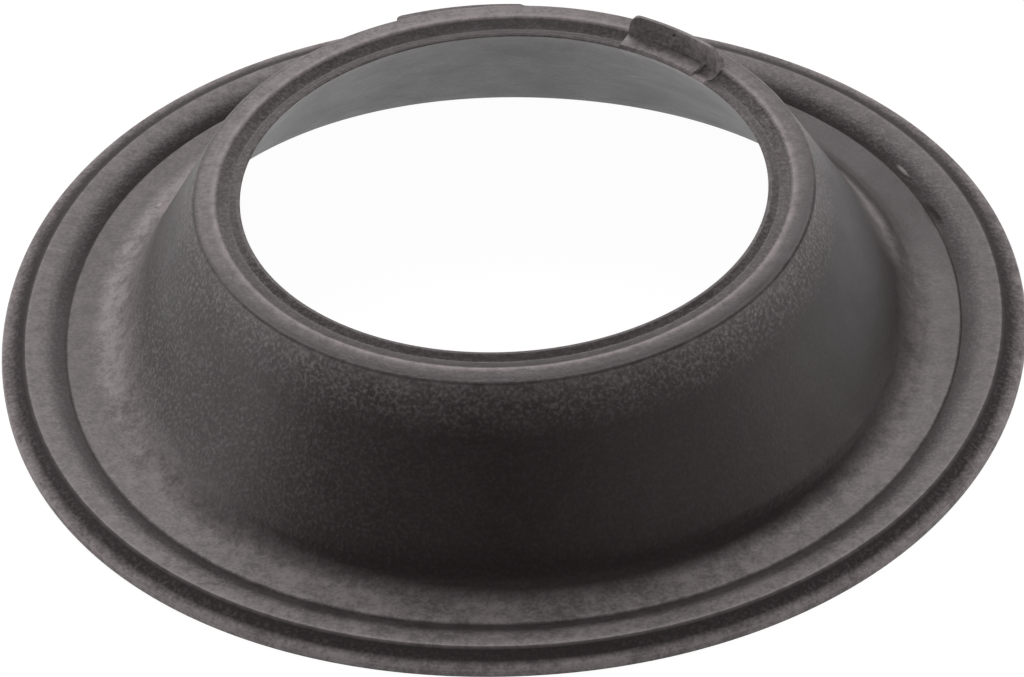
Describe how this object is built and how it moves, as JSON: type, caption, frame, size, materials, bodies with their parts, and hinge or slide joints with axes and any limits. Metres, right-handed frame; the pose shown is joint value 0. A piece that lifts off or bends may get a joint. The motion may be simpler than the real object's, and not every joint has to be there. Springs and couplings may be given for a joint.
{
  "type": "diaphragm seal",
  "caption": "Moulded rubber diaphragm seal: a beaded clamping flange, a conical wall and a grooved lip with small tabs round a wide opening.",
  "frame": {"origin": "on the seal's axis, level with the flat underside of the flange", "axes": "+Z along the axis from the flange to the lip; -Y is the front, and the tabs stand on the lip towards +Y and +X"},
  "size_m": [0.11, 0.11, 0.0215],
  "materials": {
    "moulded_rubber": "matt, slightly bloomed"
  },
  "bodies": {
    "root": {"diaphragm_seal": "moulded_rubber"}
  },
  "joints": []
}
